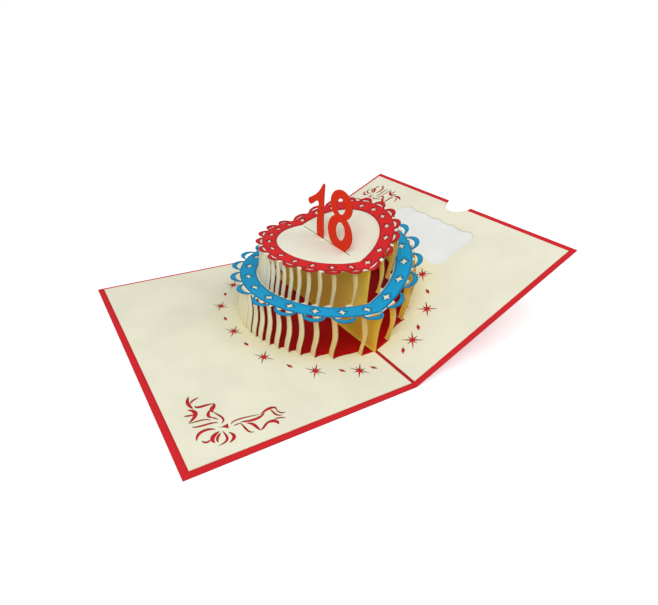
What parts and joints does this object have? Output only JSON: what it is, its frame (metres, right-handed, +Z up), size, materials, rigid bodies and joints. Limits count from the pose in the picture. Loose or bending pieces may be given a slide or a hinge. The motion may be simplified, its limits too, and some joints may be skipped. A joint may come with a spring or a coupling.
{
  "type": "pop-up greeting card",
  "caption": "Half-open pop-up greeting card: a stepped cake of cut paper strips with icing rings and upright numerals rises from the spine of a folded cover.",
  "frame": {"origin": "centre of the footprint, on the surface that the flat left leaf rests on", "axes": "+Z up, +X across the spine toward the raised leaf, +Y along the spine away from the reader"},
  "size_m": [0.1986, 0.15, 0.0696],
  "materials": {
    "red_cover": "matte",
    "cream_page": "matte",
    "cream_tier": "matte",
    "tape": "matte",
    "white_note": "matte",
    "blue_paper": "matte",
    "red_paper": "matte",
    "orange_red_paper": "matte"
  },
  "bodies": {
    "root": {"cover": "red_cover", "left_page": "cream_page", "right_page": "cream_page", "left_page_tape": "tape", "right_page_tape": "tape", "note_card": "white_note", "lower_tier": "cream_tier", "blue_ring": "blue_paper", "upper_tier": "cream_tier", "red_ring": "red_paper", "centre_wall": "cream_tier", "numerals": "orange_red_paper"}
  },
  "joints": []
}
